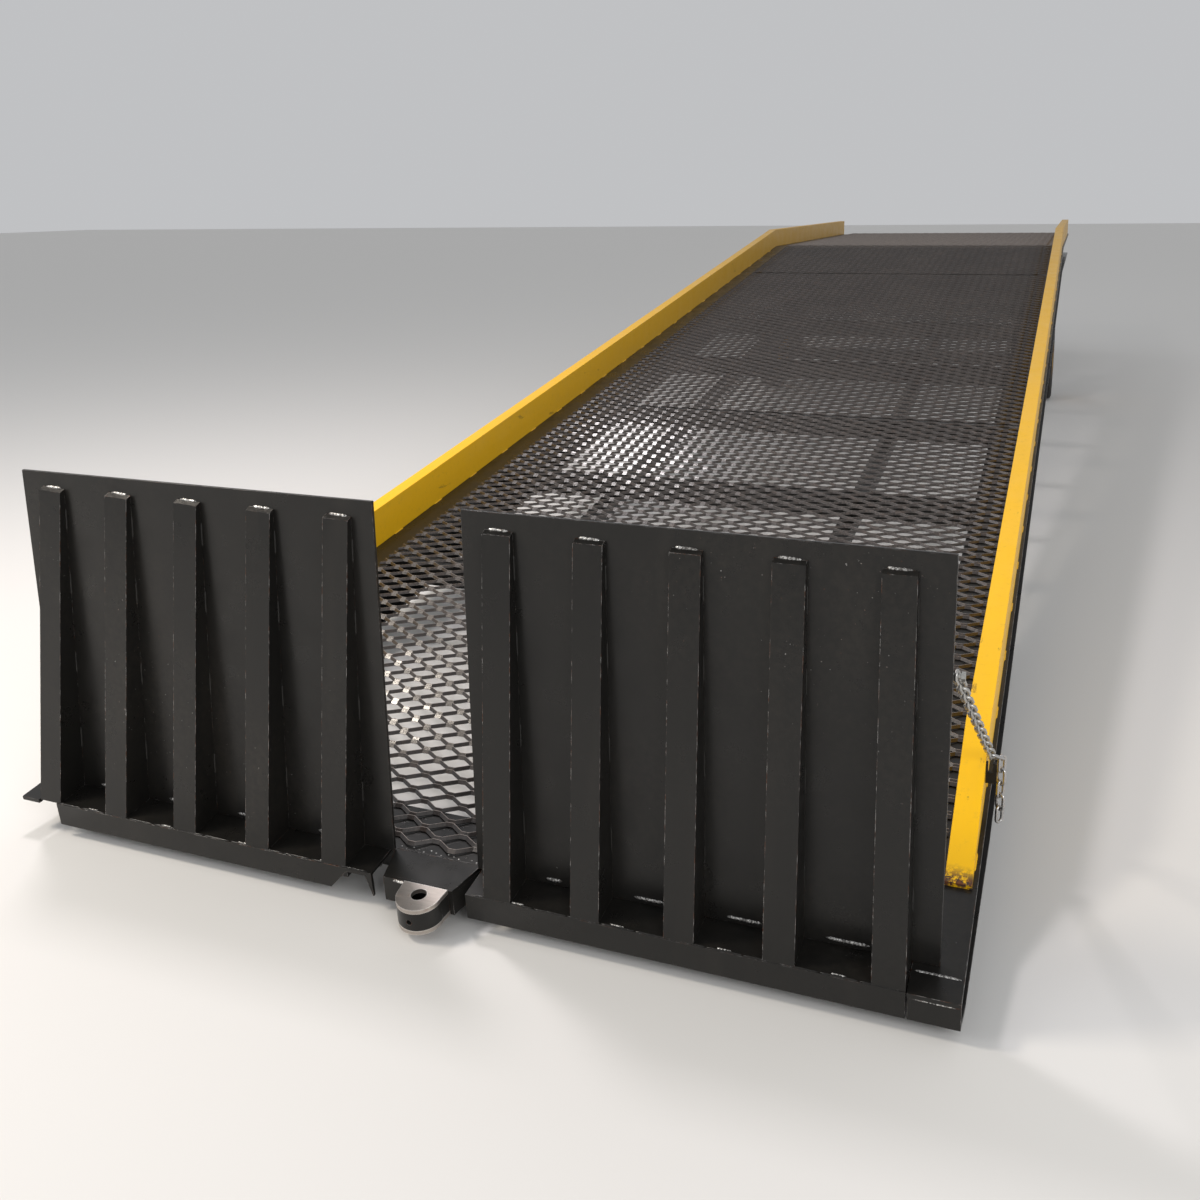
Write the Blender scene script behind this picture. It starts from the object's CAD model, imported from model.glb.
"""Looks of the folding loading ramp: paint, steel, rubber, raised expanded mesh and weld beads
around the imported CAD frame. Metres, X from the low end to the high end, Y to the left, Z up."""
import math
import random

import bpy
from mathutils import Matrix, Vector


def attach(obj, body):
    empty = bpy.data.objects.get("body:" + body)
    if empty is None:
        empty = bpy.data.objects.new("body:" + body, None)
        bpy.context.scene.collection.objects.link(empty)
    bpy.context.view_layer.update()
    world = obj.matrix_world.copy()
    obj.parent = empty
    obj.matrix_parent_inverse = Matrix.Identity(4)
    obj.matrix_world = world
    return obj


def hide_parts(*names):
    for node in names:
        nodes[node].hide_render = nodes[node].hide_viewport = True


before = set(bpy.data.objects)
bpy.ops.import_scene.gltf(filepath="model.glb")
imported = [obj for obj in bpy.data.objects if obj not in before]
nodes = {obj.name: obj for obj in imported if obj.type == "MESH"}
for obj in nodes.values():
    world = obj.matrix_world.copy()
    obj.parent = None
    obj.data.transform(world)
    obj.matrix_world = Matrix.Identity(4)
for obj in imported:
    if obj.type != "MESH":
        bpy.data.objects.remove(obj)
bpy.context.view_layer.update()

# ---- Places that part.scad sets ----

SLOPE = math.radians(7.7)
COS_SLOPE, SIN_SLOPE = math.cos(SLOPE), math.sin(SLOPE)
ROOT_Z = 0.102
SLOPE_LEN, LEVEL_LEN = 7.53, 2.99
BEND_X, BEND_Z = SLOPE_LEN * COS_SLOPE, ROOT_Z + SLOPE_LEN * SIN_SLOPE
KERB_OUTER, KERB_W, KERB_START = 1.1, 0.054, 0.225
# The deck's mesh sheets: side edges, thickness, and length of the first two
MESH_LEFT, MESH_RIGHT, MESH_T = 0.955, -1.038, 0.012
SHEET_LEN = 3.22
# The ground flaps: lean past square to the deck, length, and the front faces of the plate and
# of the root angle along the slope
FLAP_LEAN = math.radians(6.6)
FLAP_LEN = 0.8
PLATE_FRONT, ROOT_FRONT = -0.006, -0.088
# The ribs: middles, width, and how far each one's foot stands outside its tip
RIB_Y = [0.187 + i * 0.1955 for i in range(5)]
RIB_W = 0.062
RIB_SPLAY = {
    "left": (0.023, 0.030, 0.037, 0.044, 0.051),
    "right": (0.0, 0.0, 0.002, 0.004, 0.012),
}


def on_slope(s, y, z):
    """A point s up the slope, y to the left and z square to the deck."""
    return Vector((s * COS_SLOPE - z * SIN_SLOPE, y, ROOT_Z + s * SIN_SLOPE + z * COS_SLOPE))


def on_level(s, y, z):
    """A point s past the bend, y to the left and z above the level deck."""
    return Vector((BEND_X + s, y, BEND_Z + z))


def on_flap(y, up):
    """A point on the front face of a folded flap, up it from the root."""
    return on_slope(PLATE_FRONT + up * math.sin(FLAP_LEAN), y, up * math.cos(FLAP_LEAN))


# ---- Camera, lights and floor ----

# The photograph's viewpoint in slope coordinates, and its angles in radians from up the slope
CAMERA_PLACE = (-1.861, -1.227, 1.669)
YAW, PITCH, ROLL = 0.3947, 0.3236, 0.0679
SENSOR, LENS, SHIFT_Y = 36, 35.83, -0.1334
VIEW_DEPTH = 200

FLOOR_HALF = 60
FLOOR_DROP = 0.0005
FLOOR_COLOR = (0.72, 0.71, 0.69, 1)
SKY_COLOR = (0.80, 0.81, 0.83, 1)
SKY_STRENGTH = 0.66

# name, place, aim, size, watts, tint
LAMPS = (
    ("lamp", (1.6, 2.2, 5.1), (2.4, 0.4, 0.4), (0.9, 0.7), 105, (1, 0.94, 0.95)),
    ("near_lamp", (-1.4, 3.3, 4.0), (0.4, 0.4, 0.1), (0.9, 0.7), 120, (1, 0.90, 0.78)),
    ("front_left", (-5.0, 6.0, 4.5), (1.0, 2.5, 0), (4, 3), 170, (1, 1, 1)),
    ("front_fill", (-5.0, -6.0, 4.5), (1.0, -3.0, 0), (4, 3), 240, (1, 1, 1)),
)


def make_camera():
    """The view of the photograph: from the low end, just outside the right kerb."""
    forward = Vector(
        (math.cos(YAW) * math.cos(PITCH), math.sin(YAW) * math.cos(PITCH), -math.sin(PITCH))
    )
    side = Vector((math.sin(YAW), -math.cos(YAW), 0))
    down = forward.cross(side)
    right = side * math.cos(ROLL) + down * math.sin(ROLL)
    up = side * math.sin(ROLL) - down * math.cos(ROLL)
    tilt = Matrix.Rotation(-SLOPE, 3, "Y")
    axes = Matrix((tilt @ right, tilt @ up, tilt @ -forward)).transposed()
    data = bpy.data.cameras.new("camera")
    data.sensor_width = SENSOR
    data.lens = LENS
    data.shift_y = SHIFT_Y
    data.clip_end = VIEW_DEPTH
    camera = bpy.data.objects.new("camera", data)
    camera.matrix_world = Matrix.Translation(on_slope(*CAMERA_PLACE)) @ axes.to_4x4()
    bpy.context.scene.collection.objects.link(camera)
    bpy.context.scene.camera = camera


def make_lamp(name, place, aim, size, watts, tint):
    """A soft box at place that faces aim."""
    data = bpy.data.lights.new(name, "AREA")
    data.shape = "RECTANGLE"
    data.size, data.size_y = size
    data.energy = watts
    data.color = tint
    lamp = bpy.data.objects.new(name, data)
    lamp.location = place
    lamp.rotation_euler = (Vector(aim) - Vector(place)).to_track_quat("-Z", "Y").to_euler()
    bpy.context.scene.collection.objects.link(lamp)


def make_stage():
    """A pale floor under a pale sky, lit by soft boxes."""
    mesh = bpy.data.meshes.new("floor")
    corners = [(x * FLOOR_HALF, y * FLOOR_HALF, 0) for x, y in ((-1, -1), (1, -1), (1, 1), (-1, 1))]
    mesh.from_pydata(corners, [], [(0, 1, 2, 3)])
    floor = bpy.data.objects.new("floor", mesh)
    bpy.context.scene.collection.objects.link(floor)
    floor.location.z = -FLOOR_DROP
    material = bpy.data.materials.new("floor_paint")
    material.use_nodes = True
    shader = material.node_tree.nodes["Principled BSDF"]
    shader.inputs["Base Color"].default_value = FLOOR_COLOR
    shader.inputs["Roughness"].default_value = 0.85
    mesh.materials.append(material)

    world = bpy.data.worlds.new("studio")
    world.use_nodes = True
    sky = world.node_tree.nodes["Background"]
    sky.inputs["Color"].default_value = SKY_COLOR
    sky.inputs["Strength"].default_value = SKY_STRENGTH
    bpy.context.scene.world = world
    bpy.context.scene.view_settings.view_transform = "Standard"
    for lamp in LAMPS:
        make_lamp(*lamp)


# ---- Materials ----


class Shader:
    """Builds one procedural material, node by node."""

    def __init__(self, name):
        self.material = bpy.data.materials.new(name)
        self.material.use_nodes = True
        self.tree = self.material.node_tree
        self.bsdf = self.tree.nodes["Principled BSDF"]
        self.object_coords = self.node("ShaderNodeTexCoord").outputs["Object"]

    def node(self, kind, **values):
        made = self.tree.nodes.new(kind)
        for key, value in values.items():
            setattr(made, key, value)
        return made

    def feed(self, socket, value):
        """Links a socket, or sets a number or colour."""
        if isinstance(value, bpy.types.NodeSocket):
            self.tree.links.new(value, socket)
        else:
            socket.default_value = value

    def stretched(self, scale, turn=0.0):
        """Object coordinates, scaled along each axis and turned about Y."""
        mapping = self.node("ShaderNodeMapping")
        self.feed(mapping.inputs["Vector"], self.object_coords)
        mapping.inputs["Rotation"].default_value = (0, turn, 0)
        mapping.inputs["Scale"].default_value = scale
        return mapping.outputs["Vector"]

    def noise(self, scale, detail=3.0, rough=0.5, coords=None):
        noise = self.node("ShaderNodeTexNoise")
        self.feed(noise.inputs["Vector"], coords or self.object_coords)
        noise.inputs["Scale"].default_value = scale
        noise.inputs["Detail"].default_value = detail
        noise.inputs["Roughness"].default_value = rough
        return noise.outputs["Fac"]

    def cells(self, scale):
        cells = self.node("ShaderNodeTexVoronoi")
        self.feed(cells.inputs["Vector"], self.object_coords)
        cells.inputs["Scale"].default_value = scale
        return cells.outputs["Distance"]

    def ramp(self, value, low, high, to=(0.0, 1.0)):
        """value spread from low..high onto the range to, and kept inside it."""
        spread = self.node("ShaderNodeMapRange", clamp=True)
        self.feed(spread.inputs["Value"], value)
        for key, number in zip(("From Min", "From Max", "To Min", "To Max"), (low, high, *to)):
            spread.inputs[key].default_value = number
        return spread.outputs["Result"]

    def calc(self, operation, a, b):
        step = self.node("ShaderNodeMath", operation=operation)
        self.feed(step.inputs[0], a)
        self.feed(step.inputs[1], b)
        return step.outputs[0]

    def times(self, a, b):
        return self.calc("MULTIPLY", a, b)

    def plus(self, a, b):
        return self.calc("ADD", a, b)

    def minus(self, a, b):
        return self.calc("SUBTRACT", a, b)

    def most(self, a, b):
        return self.calc("MAXIMUM", a, b)

    def mix(self, factor, a, b):
        """A colour from a to b. Each is a socket or a colour."""
        mix = self.node("ShaderNodeMix", data_type="RGBA")
        self.feed(mix.inputs["Factor"], factor)
        for socket, value in ((mix.inputs[6], a), (mix.inputs[7], b)):
            self.feed(socket, value if isinstance(value, bpy.types.NodeSocket) else (*value, 1))
        return mix.outputs[2]

    def edges(self, radius):
        """1 on sharp edges, 0 on flat faces."""
        soft = self.node("ShaderNodeBevel", samples=4)
        soft.inputs["Radius"].default_value = radius
        geometry = self.node("ShaderNodeNewGeometry")
        dot = self.node("ShaderNodeVectorMath", operation="DOT_PRODUCT")
        self.feed(dot.inputs[0], soft.outputs["Normal"])
        self.feed(dot.inputs[1], geometry.outputs["Normal"])
        return self.ramp(self.minus(1.0, dot.outputs["Value"]), 0.02, 0.25)

    def part_of(self, vector, axis):
        split = self.node("ShaderNodeSeparateXYZ")
        self.feed(split.inputs[0], vector)
        return split.outputs[axis]

    def from_low_end(self):
        """Distance along the ramp."""
        return self.part_of(self.object_coords, "X")

    def facing_up(self, low, high):
        """0 on faces that lean away from the sky, 1 on those that lie under it."""
        geometry = self.node("ShaderNodeNewGeometry")
        return self.ramp(self.part_of(geometry.outputs["True Normal"], "Z"), low, high)

    def bump(self, height, strength, distance):
        bump = self.node("ShaderNodeBump")
        bump.inputs["Strength"].default_value = strength
        bump.inputs["Distance"].default_value = distance
        self.feed(bump.inputs["Height"], height)
        self.feed(self.bsdf.inputs["Normal"], bump.outputs["Normal"])

    def finish(self, color, rough, metal=0.0, coat=0.0, coat_rough=0.1, specular=0.5):
        self.feed(self.bsdf.inputs["Base Color"], color)
        self.feed(self.bsdf.inputs["Roughness"], rough)
        self.feed(self.bsdf.inputs["Metallic"], metal)
        self.bsdf.inputs["Coat Weight"].default_value = coat
        self.bsdf.inputs["Coat Roughness"].default_value = coat_rough
        self.bsdf.inputs["Specular IOR Level"].default_value = specular
        return self.material


RUST = (0.16, 0.055, 0.02)
STEEL = (0.42, 0.41, 0.40)
RUBBED_STEEL = (0.90, 0.88, 0.85)
ANTHRACITE = (0.0085, 0.0080, 0.0072)
BROWN_DUST = (0.115, 0.095, 0.075)
YELLOW, FADED_YELLOW = (0.95, 0.53, 0.002), (0.62, 0.36, 0.05)
STREAK_YELLOW, SOILED_YELLOW = (0.60, 0.36, 0.03), (0.42, 0.25, 0.05)
OLD_PRIMER = (0.05, 0.035, 0.03)
MESH_DARK, MESH_BARE, MESH_DIRT = (0.022, 0.016, 0.013), (0.38, 0.32, 0.28), (0.085, 0.055, 0.038)
WELD_BRIGHT, WELD_BURNT = (0.72, 0.71, 0.69), (0.10, 0.095, 0.09)
TYRE_BLACK, TYRE_DUST = (0.018, 0.018, 0.018), (0.11, 0.10, 0.09)
RED, DEEP_RED, RED_GRIME = (0.36, 0.016, 0.010), (0.27, 0.014, 0.010), (0.10, 0.05, 0.03)


def darker(color, share):
    return tuple(share * c for c in color)


def dark_paint():
    """Half-gloss anthracite paint with brown dust, faint runs, and wear to steel on the edges."""
    s = Shader("dark_paint")
    cloud = s.noise(2.1, 5, 0.6)
    fine = s.noise(75, 3, 0.6)
    runs = s.noise(9, 3, 0.6, s.stretched((1, 1, 0.12)))
    grime = s.times(s.ramp(cloud, 0.42, 0.75), s.ramp(fine, 0.38, 0.68))
    grime = s.times(s.plus(grime, s.ramp(runs, 0.52, 0.8, (0, 0.6))), 0.10)
    patch = s.ramp(s.noise(0.9, 2), 0.35, 0.7)
    color = s.mix(grime, s.mix(patch, ANTHRACITE, darker(ANTHRACITE, 1.35)), BROWN_DUST)
    chips = s.times(s.ramp(s.noise(170, 2), 0.735, 0.75), s.ramp(cloud, 0.52, 0.62, (0, 0.6)))
    edge = s.times(s.edges(0.0025), s.ramp(s.noise(38, 3, 0.7), 0.47, 0.58))
    bare = s.most(edge, chips)
    color = s.mix(bare, color, s.mix(s.ramp(fine, 0.45, 0.6), STEEL, RUST))
    orange_peel = s.ramp(s.noise(14, 4, 0.6), 0.3, 0.75, (0.24, 0.42))
    rough = s.plus(orange_peel, s.times(grime, 0.8))
    s.bump(s.plus(s.noise(420, 2), s.times(cloud, 2.0)), 0.10, 0.0006)
    metal = s.times(bare, 0.8)
    return s.finish(color, rough, metal, coat=0.06, coat_rough=0.2, specular=0.3)


def yellow_paint():
    """Traffic yellow that has faded along its length, rubbed at the edges and chipped low down."""
    s = Shader("yellow_paint")
    base = s.mix(s.ramp(s.from_low_end(), 0.5, 8.5), YELLOW, FADED_YELLOW)
    streak = s.noise(7, 4, 0.6, s.stretched((0.16, 1, 1), SLOPE))
    base = s.mix(s.ramp(streak, 0.5, 0.85, (0, 0.30)), base, STREAK_YELLOW)
    base = s.mix(s.ramp(s.noise(48, 4, 0.7), 0.56, 0.8, (0, 0.28)), base, SOILED_YELLOW)
    scuff = s.ramp(s.noise(26, 5, 0.75, s.stretched((0.2, 1, 1), SLOPE)), 0.655, 0.70)
    low_end = s.ramp(s.from_low_end(), 0.232, 0.262, (1, 0))
    ragged = s.times(low_end, s.ramp(s.noise(70, 4, 0.75), 0.40, 0.50))
    edge = s.times(s.edges(0.003), s.ramp(s.noise(30, 4, 0.75), 0.56, 0.64))
    bare = s.most(s.most(s.times(scuff, 0.5), ragged), edge)
    chip = s.mix(s.ramp(s.noise(110, 3), 0.45, 0.6), OLD_PRIMER, RUST)
    color = s.mix(bare, base, chip)
    rough = s.plus(s.ramp(s.noise(12, 4), 0.3, 0.7, (0.34, 0.50)), s.times(bare, 0.3))
    s.bump(s.minus(s.noise(300, 2), s.times(bare, 3.0)), 0.12, 0.0006)
    return s.finish(color, rough, coat=0.05, coat_rough=0.25, specular=0.28)


def mesh_paint():
    """Thin dark paint on the mesh, rubbed off its top edges, most where wheels cross the bend."""
    s = Shader("mesh_paint")
    fine = s.noise(160, 3, 0.6)
    patch = s.noise(3.2, 4, 0.6)
    worn = s.times(s.ramp(fine, 0.50, 0.70), s.ramp(patch, 0.40, 0.70, (0.05, 0.6)))
    rubbed = s.times(s.facing_up(0.85, 0.95), s.ramp(fine, 0.30, 0.50, (0.35, 1)))
    worn = s.most(s.times(worn, 0.4), rubbed)
    trodden = s.ramp(s.from_low_end(), 7.35, 7.60, (0, 0.5))
    worn = s.most(worn, s.times(trodden, s.ramp(fine, 0.30, 0.60, (0.4, 1))))
    dirt = s.ramp(s.noise(31, 4, 0.7), 0.52, 0.75, (0, 0.5))
    color = s.mix(dirt, s.mix(worn, MESH_DARK, MESH_BARE), MESH_DIRT)
    rough = s.ramp(fine, 0.3, 0.7, (0.26, 0.42))
    s.bump(s.noise(420, 3, 0.6), 0.2, 0.0006)
    return s.finish(color, rough, s.times(worn, 0.5), coat=0.5, coat_rough=0.13)


def steel(name, base, rough, spangle=0.0, rust=0.15, shine=0.0):
    """Bare or zinc-coated steel with fine scratches, rust spots, and some spangle or shine."""
    s = Shader(name)
    grain = s.noise(220, 3, 0.6, s.stretched((1, 0.1, 1)))
    color = s.mix(s.ramp(grain, 0.3, 0.7, (0, 0.35)), base, darker(base, 0.6))
    if spangle:
        flakes = s.ramp(s.cells(160), 0.0, 0.8, (0, spangle))
        color = s.mix(flakes, color, darker(base, 0.55))
    rusty = s.ramp(s.noise(28, 5, 0.7), 0.60, 0.72, (0, rust))
    color = s.mix(rusty, color, RUST)
    if shine:
        color = s.mix(s.times(s.edges(0.004), shine), color, RUBBED_STEEL)
    s.bump(grain, 0.15, 0.0004)
    metal = s.ramp(rusty, 0, 1, (0.95, 0.2))
    return s.finish(color, s.ramp(grain, 0.3, 0.7, rough), metal)


def weld_metal():
    """Bright weld with burnt patches and spatter."""
    s = Shader("weld_metal")
    blotch = s.noise(240, 3, 0.6)
    color = s.mix(s.ramp(blotch, 0.38, 0.58), WELD_BRIGHT, WELD_BURNT)
    s.bump(blotch, 0.5, 0.0015)
    return s.finish(color, s.ramp(blotch, 0.3, 0.7, (0.25, 0.5)), 0.6)


def rubber():
    """Dusty black rubber."""
    s = Shader("tyre_rubber")
    dust = s.ramp(s.noise(18, 5, 0.7), 0.45, 0.75, (0, 0.5))
    color = s.mix(dust, TYRE_BLACK, TYRE_DUST)
    s.bump(s.noise(350, 3, 0.6), 0.3, 0.0008)
    return s.finish(color, s.ramp(dust, 0, 0.5, (0.62, 0.85)), specular=0.35)


def red_paint():
    """Glossy red enamel on the hand pump, grimy and worn at the edges."""
    s = Shader("pump_enamel")
    color = s.mix(s.ramp(s.noise(9, 4), 0.35, 0.7), RED, DEEP_RED)
    edge = s.times(s.edges(0.002), s.ramp(s.noise(60, 3, 0.7), 0.5, 0.6))
    color = s.mix(s.ramp(s.noise(40, 5, 0.7), 0.6, 0.75, (0, 0.5)), color, RED_GRIME)
    color = s.mix(edge, color, STEEL)
    s.bump(s.noise(300, 2), 0.1, 0.0005)
    return s.finish(color, s.ramp(s.noise(20), 0.3, 0.7, (0.22, 0.38)), coat=0.4)


make_camera()
make_stage()

MATERIALS = {
    "dark_paint": dark_paint(),
    "yellow_paint": yellow_paint(),
    "mesh_paint": mesh_paint(),
    "zinc": steel("zinc_coat", (0.60, 0.59, 0.56), (0.30, 0.50), spangle=0.5, rust=0.35),
    "bright_steel": steel("machined_steel", (0.56, 0.55, 0.54), (0.22, 0.38), rust=0.25),
    "bare_steel": steel("worn_steel", (0.50, 0.45, 0.41), (0.30, 0.48), rust=0.55, shine=0.9),
    "chrome_rod": steel("hard_chrome", (0.72, 0.72, 0.74), (0.06, 0.12), rust=0.0),
    "tyre": rubber(),
    "pump_paint": red_paint(),
    "weld": weld_metal(),
}

# Which nodes have which finish, apart from the deck's mesh, which the strands replace
FINISHES = {
    "dark_paint": """
        side_beam_left side_beam_right threshold_plate front_cross_beam cross_members
        level_cross_members inner_stringers end_beam bend_gussets nose_frame nose_corner_plate
        tow_eye_band hinge_lugs chain_catches leg_cross_beam leg_sleeve_left leg_sleeve_right
        leg_braces cylinder_barrel_left cylinder_barrel_right lip_hinge_lugs flap_plate_left
        flap_plate_right flap_ribs_left flap_ribs_right flap_root_left flap_root_right
        flap_hinge_arms_left flap_hinge_arms_right leg_posts axle_beam lip_plate pump_lever""",
    "yellow_paint": "kerb_left kerb_right wheel_left wheel_right",
    "zinc": "hydraulic_pipes chain_bolt_left chain_bolt_right chain_run_left chain_run_right",
    "bright_steel": """
        flap_hinge_pins lip_hinge_pins release_knob wheel_bearings_left wheel_bearings_right
        chain_tail_left chain_tail_right""",
    "bare_steel": "tow_eye_plates",
    "chrome_rod": "piston_rods",
    "tyre": "tyre_left tyre_right",
    "pump_paint": "pump_tank pump_block",
}
FINISH_OF = {node: finish for finish, listed in FINISHES.items() for node in listed.split()}

# Rounding of plate edges and of the kerbs' folds, and the nodes that stay as they are
ROUND_PLATE, ROUND_FOLD = 0.0015, 0.004
UNROUNDED = ("chain", "tyre", "wheel", "hydraulic", "flap_hinge_pins", "piston")
SAME_POINT = 0.00002
SHARP_ANGLE = math.radians(35)


def round_edges(obj, width):
    """Breaks the sharp edges of a CAD node, and shades its flat faces flat."""
    join = obj.modifiers.new("join", "WELD")
    join.merge_threshold = SAME_POINT
    bevel = obj.modifiers.new("edges", "BEVEL")
    bevel.width = width
    bevel.segments = 3 if width > ROUND_PLATE else 2
    bevel.limit_method = "ANGLE"
    bevel.angle_limit = SHARP_ANGLE
    shade = obj.modifiers.new("shade", "WEIGHTED_NORMAL")
    shade.keep_sharp = False


def dress_nodes():
    """Gives every CAD node its finish, and rounds the cut and folded edges."""
    for name, obj in nodes.items():
        if name.startswith("deck_mesh"):
            continue
        obj.data.materials.clear()
        obj.data.materials.append(MATERIALS[FINISH_OF[name]])
        if not name.startswith(UNROUNDED):
            round_edges(obj, ROUND_FOLD if name.startswith("kerb") else ROUND_PLATE)


def new_piece(name, points, faces, material, body, smooth=True):
    mesh = bpy.data.meshes.new(name)
    mesh.from_pydata(points, [], faces)
    mesh.materials.append(MATERIALS[material])
    mesh.polygons.foreach_set("use_smooth", [smooth] * len(mesh.polygons))
    mesh.update()
    obj = bpy.data.objects.new(name, mesh)
    bpy.context.scene.collection.objects.link(obj)
    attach(obj, body)
    return obj


# ---- Raised expanded mesh ----

# Half an opening across the deck, and the distance from one strand to the next along it
HALF_OPENING = 0.0502
ROW = 0.031
# A strand's width, thickness and rubbed corner, and how steeply it stands
STRAND_W, STRAND_T, STRAND_CHAMFER = 0.0106, 0.0036, 0.0011
STRAND_TILT = math.radians(37)
# How far a strand climbs between bonds, as a share of what its tilt would give
STRAND_RISE = 0.34
# Half the length of a bond between strands, and the place of the first one
BOND_HALF = 0.0090
BOND_Y = MESH_LEFT - 0.027
# The strands end this far inside the sheet's side edges
CUT = 0.0006
END_ROOM = 0.001
STRAND_WANDER, STRAND_LIFT = 0.0005, 0.0002
# Clear space at the threshold, at each side of a seam, at the bend and at the high end
THRESHOLD_GAP, SEAM_GAP, BEND_GAP, BEND_END_GAP, HIGH_END_GAP = 0.016, 0.003, 0.002, 0.004, 0.006

# piece and node, frame of coordinates, start, end
MESH_SHEETS = (
    ("low", on_slope, THRESHOLD_GAP, SHEET_LEN - SEAM_GAP),
    ("middle", on_slope, SHEET_LEN + SEAM_GAP, 2 * SHEET_LEN - SEAM_GAP),
    ("upper", on_slope, 2 * SHEET_LEN + SEAM_GAP, SLOPE_LEN - BEND_END_GAP),
    ("level", on_level, BEND_GAP, LEVEL_LEN - HIGH_END_GAP),
)


def strand_line(row):
    """Along one strand across the deck: (y, swing), where swing runs from -1 to 1 between bonds."""
    points = []
    count = int((MESH_LEFT - MESH_RIGHT) / HALF_OPENING) + 3
    for i in range(-1, count):
        y = BOND_Y - i * HALF_OPENING
        swing = 1 if (i + row) % 2 == 0 else -1
        points += [(y + BOND_HALF, swing), (y - BOND_HALF, swing)]
    line = []
    for (y0, swing0), (y1, swing1) in zip(points, points[1:]):
        for edge in (MESH_LEFT - CUT, MESH_RIGHT + CUT):
            if y0 > edge > y1:
                line.append((edge, swing0 + (swing1 - swing0) * (y0 - edge) / (y0 - y1)))
        if MESH_RIGHT + 2 * CUT < y1 < MESH_LEFT - 2 * CUT:
            line.append((y1, swing1))
    line.sort(key=lambda point: -point[0])
    return line


def strand_section():
    """Corners of a tilted strand's section: (along the deck, up), with its top edge rubbed off."""
    cos_tilt, sin_tilt = math.cos(STRAND_TILT), math.sin(STRAND_TILT)
    half_w, half_t = STRAND_W / 2, STRAND_T / 2
    flat = (
        (-half_w, half_t), (half_w - STRAND_CHAMFER, half_t), (half_w, half_t - STRAND_CHAMFER),
        (half_w, -half_t), (-half_w, -half_t),
    )
    return [(w * cos_tilt - t * sin_tilt, w * sin_tilt + t * cos_tilt) for w, t in flat]


def tube_faces(first, rings, sides):
    """Faces of a closed tube of rings with the same number of sides, from point first. They face
    outward where each ring turns as both section makers here turn it."""
    faces = []
    for ring in range(rings - 1):
        a, b = first + sides * ring, first + sides * (ring + 1)
        for k in range(sides):
            following = (k + 1) % sides
            faces.append((a + k, b + k, b + following, a + following))
    last = first + sides * (rings - 1)
    faces.append(tuple(first + k for k in range(sides)))
    faces.append(tuple(last + k for k in reversed(range(sides))))
    return faces


def expanded_mesh(name, node, place, start, end, seed):
    """Rows of slit and pulled strands, each joined to the next at its bonds."""
    rand = random.Random(seed)
    corners = strand_section()
    half_length = STRAND_W / 2 * math.cos(STRAND_TILT)
    rise = STRAND_W / 2 * math.sin(STRAND_TILT) * STRAND_RISE
    swing_length = ROW / 2 - half_length
    reach = swing_length + half_length + END_ROOM
    points, faces = [], []
    for row in range(int((end - start - 2 * reach) / ROW) + 1):
        middle = start + reach + row * ROW
        first = len(points)
        line = strand_line(row)
        for y, swing in line:
            s = middle + swing * swing_length + rand.uniform(-STRAND_WANDER, STRAND_WANDER)
            z = 0.5 * MESH_T - swing * rise + rand.uniform(-STRAND_LIFT, STRAND_LIFT)
            points += [tuple(place(s + ds, y, z + dz)) for ds, dz in corners]
        faces += tube_faces(first, len(line), len(corners))
    obj = new_piece(name, points, faces, "mesh_paint", "frame", smooth=False)
    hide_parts(node)


# ---- Weld beads ----

# Sides of a bead's section, length of a ripple, which is a high and a low ring, how much broader
# than high a bead is, and the share of its radius left at a low ring
BEAD_SIDES, BEAD_RIPPLE, BEAD_BROADER, LOW_RING = 8, 0.006, 1.15, 0.80


class Beads:
    """Runs of weld that together are one piece."""

    def __init__(self):
        self.points, self.faces = [], []

    def add(self, start, end, out, radius, seed, sink=0.3):
        """One run of overlapping ripples from start to end, bulging along out."""
        rand = random.Random(seed)
        run = end - start
        length = run.length
        run.normalize()
        out = (out - run * out.dot(run)).normalized()
        side = run.cross(out)
        rings = max(3, int(length / BEAD_RIPPLE * 2))
        first = len(self.points)
        for i in range(rings + 1):
            t = i / rings
            taper = min(1.0, 0.35 + 6 * min(t, 1 - t))
            r = radius * (1.0 if i % 2 else LOW_RING) * taper * rand.uniform(0.88, 1.12)
            centre = start + run * (length * t) - out * (radius * sink)
            centre += side * rand.uniform(-0.12, 0.12) * radius
            for k in range(BEAD_SIDES):
                angle = 2 * math.pi * k / BEAD_SIDES
                across, up = r * BEAD_BROADER * math.cos(angle), r * math.sin(angle)
                self.points.append(tuple(centre + side * across + out * up))
        self.faces += tube_faces(first, rings + 1, BEAD_SIDES)

    def piece(self, name, material, body, slot):
        new_piece(name, self.points, self.faces, material, body)


# Stitches along each rib: heights of their lower ends, and length
RIB_STITCHES, RIB_STITCH_LEN = (0.10, 0.30, 0.50, 0.66), 0.055
TIP_UP = FLAP_LEN - 0.036
# The short runs in the foot of each bay: height, and length from the middle outwards
FOOT_UP, FOOT_LENGTHS = 0.013, (0.036, 0.064, 0.070, 0.084)
# The seam along the root angle: first run, pitch, length of a run, and outer end on each side
ROOT_SEAM_START, ROOT_SEAM_PITCH, ROOT_SEAM_RUN, ROOT_SEAM_RUNS = 0.125, 0.073, 0.071, 12
ROOT_SEAM_END = {"left": 0.998, "right": 1.009}
ROOT_SEAM_S = ROOT_FRONT + 0.004
ROOT_TICK_S = ROOT_FRONT + 0.006
FLAP_SEED = {"left": 10, "right": 60}


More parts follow.
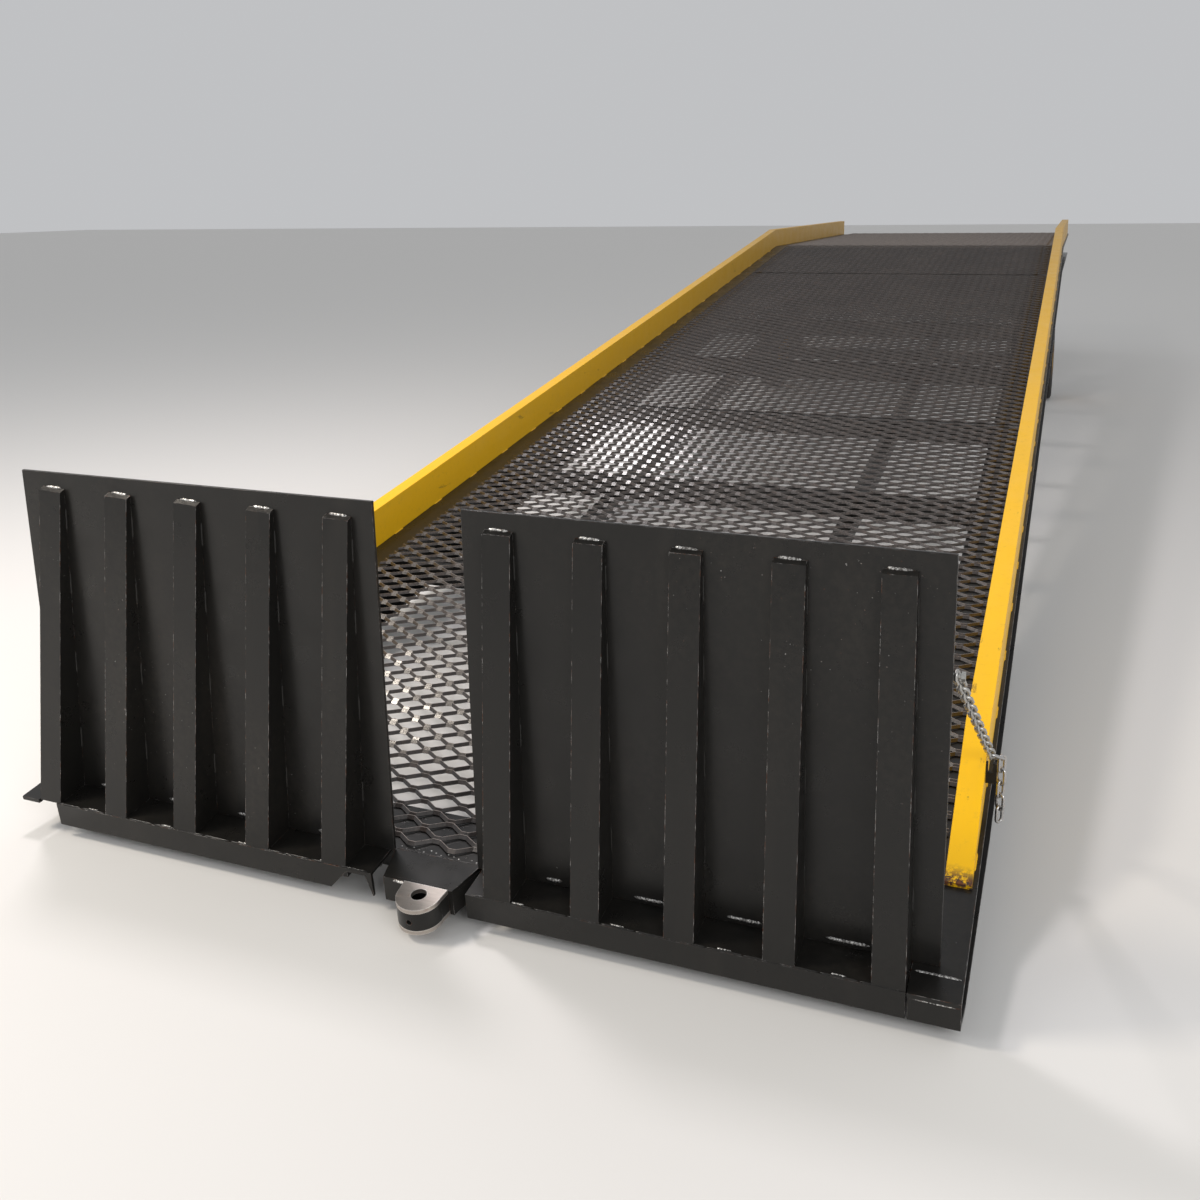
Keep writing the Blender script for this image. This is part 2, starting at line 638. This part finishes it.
def flap_welds(side, sign):
    """Painted stitches along the ribs and the root seam, and bright runs over each rib's tip, in
    each bay's foot and here and there on the root seam."""
    bright, painted = Beads(), Beads()
    seed = FLAP_SEED[side]
    for n, y in enumerate(RIB_Y):
        for edge in (-1, 1):
            out = Vector((-0.7, sign * edge * 0.7, 0.1))
            for k, up in enumerate(RIB_STITCHES):
                ends = []
                for height in (up, up + RIB_STITCH_LEN):
                    splay = RIB_SPLAY[side][n] * (1 - height / TIP_UP)
                    ends.append(on_flap(sign * (y + edge * RIB_W / 2 + splay), height))
                painted.add(*ends, out, 0.0035, seed + 40 * n + 4 * k + edge)
        tip = (on_flap(sign * y - 0.021, TIP_UP), on_flap(sign * y + 0.023, TIP_UP + 0.002))
        bright.add(*tip, Vector((-0.6, 0, 0.8)), 0.0040, seed + n)
    for n, (a, b) in enumerate(zip(RIB_Y, RIB_Y[1:])):
        start = (a + b) / 2 - 0.02
        foot = [on_flap(sign * y, FOOT_UP) for y in (start, start + FOOT_LENGTHS[n])]
        bright.add(*foot, Vector((-0.8, 0, 0.6)), 0.0036, seed + 20 + n)
    seam_out = Vector((-0.3, 0, 1))
    for n in range(ROOT_SEAM_RUNS):
        start = ROOT_SEAM_START + n * ROOT_SEAM_PITCH
        end = min(start + ROOT_SEAM_RUN, ROOT_SEAM_END[side])
        seam = [on_slope(ROOT_SEAM_S, sign * y, 0) for y in (start, end)]
        painted.add(*seam, seam_out, 0.0030, seed + 90 + n)
        if n % 3 == 1:
            tick = [on_slope(ROOT_TICK_S, sign * (start + y), 0.001) for y in (0.02, 0.05)]
            bright.add(*tick, seam_out, 0.0022, seed + 110 + n)
    bright.piece("flap_weld_tips_" + side, "weld", "flap_" + side, "bare_steel")
    painted.piece("flap_weld_stitches_" + side, "dark_paint", "flap_" + side, "dark_paint")


UP = Vector((0, 0, 1))
# Runs across the right beam's flange: one on top, one along its low edge
FLANGE_TOP = (on_slope(-0.027, -1.020, 0), on_slope(-0.027, -1.104, 0))
FLANGE_EDGE = [on_slope(ROOT_FRONT + 0.002, y, -0.010) for y in (-1.022, -1.106)]
# Runs on the front of the nose, each as long as NOSE_RUN
NOSE_RUNS, NOSE_RUN = (-0.070, 0.028), 0.03
# Drops of spatter behind the towing eye, in a broken row
SPATTER_DROPS, SPATTER_Y, SPATTER_PITCH, SPATTER_LEN = 14, -0.095, 0.0145, 0.005
SPATTER_S, SPATTER_STEP = 0.010, 0.004
# Stitches under the kerbs
STITCH_LEN, STITCH_PITCH, STITCH_R = 0.06, 0.30, 0.0035
SLOPE_STITCHES, LEVEL_STITCHES = 24, 9
INSIDE_STITCH = (0.1, 0.16)
LEVEL_STITCH_START = 0.15


def nose_welds():
    """Bright runs and spatter round the nose and across the right beam's flange."""
    bright = Beads()
    bright.add(*FLANGE_TOP, UP, 0.0028, 500)
    bright.add(*FLANGE_EDGE, Vector((-0.4, 0, 1)), 0.0024, 501)
    for n, y in enumerate(NOSE_RUNS):
        run = [on_slope(ROOT_FRONT - 0.001, end, -0.004) for end in (y, y + NOSE_RUN)]
        bright.add(*run, Vector((-1, 0, 0.6)), 0.0030, 502 + n)
    for n in range(SPATTER_DROPS):
        y = SPATTER_Y + n * SPATTER_PITCH
        s = SPATTER_S + SPATTER_STEP * (n % 3)
        bright.add(on_slope(s, y, 0.0), on_slope(s, y + SPATTER_LEN, 0.0), UP, 0.0018, 510 + n)
    bright.piece("nose_weld_beads", "weld", "frame", "bare_steel")


def kerb_welds():
    """Yellow-painted stitches under both kerbs, staggered inside and outside."""
    painted = Beads()
    for sign in (-1, 1):
        outside, inside = sign * KERB_OUTER, sign * (KERB_OUTER - KERB_W)
        outwards, inwards = Vector((0, sign, 1)), Vector((0, -sign, 1))
        for n in range(SLOPE_STITCHES):
            s = KERB_START + STITCH_LEN + n * STITCH_PITCH
            outer = (on_slope(s, outside, 0.0), on_slope(s + STITCH_LEN, outside, 0.0))
            inner = [on_slope(s + along, inside, 0.0) for along in INSIDE_STITCH]
            painted.add(*outer, outwards, STITCH_R, 200 + n, sink=0.2)
            painted.add(*inner, inwards, STITCH_R, 300 + n, sink=0.2)
        for n in range(LEVEL_STITCHES):
            s = LEVEL_STITCH_START + n * STITCH_PITCH
            outer = (on_level(s, outside, 0), on_level(s + STITCH_LEN, outside, 0))
            painted.add(*outer, outwards, STITCH_R, 400 + n, sink=0.2)
    painted.piece("kerb_weld_stitches", "yellow_paint", "frame", "yellow_paint")


dress_nodes()
for mesh_seed, (sheet, *extent) in enumerate(MESH_SHEETS, 1):
    expanded_mesh("expanded_mesh_" + sheet, "deck_mesh_" + sheet, *extent, mesh_seed)
flap_welds("left", 1)
flap_welds("right", -1)
nose_welds()
kerb_welds()
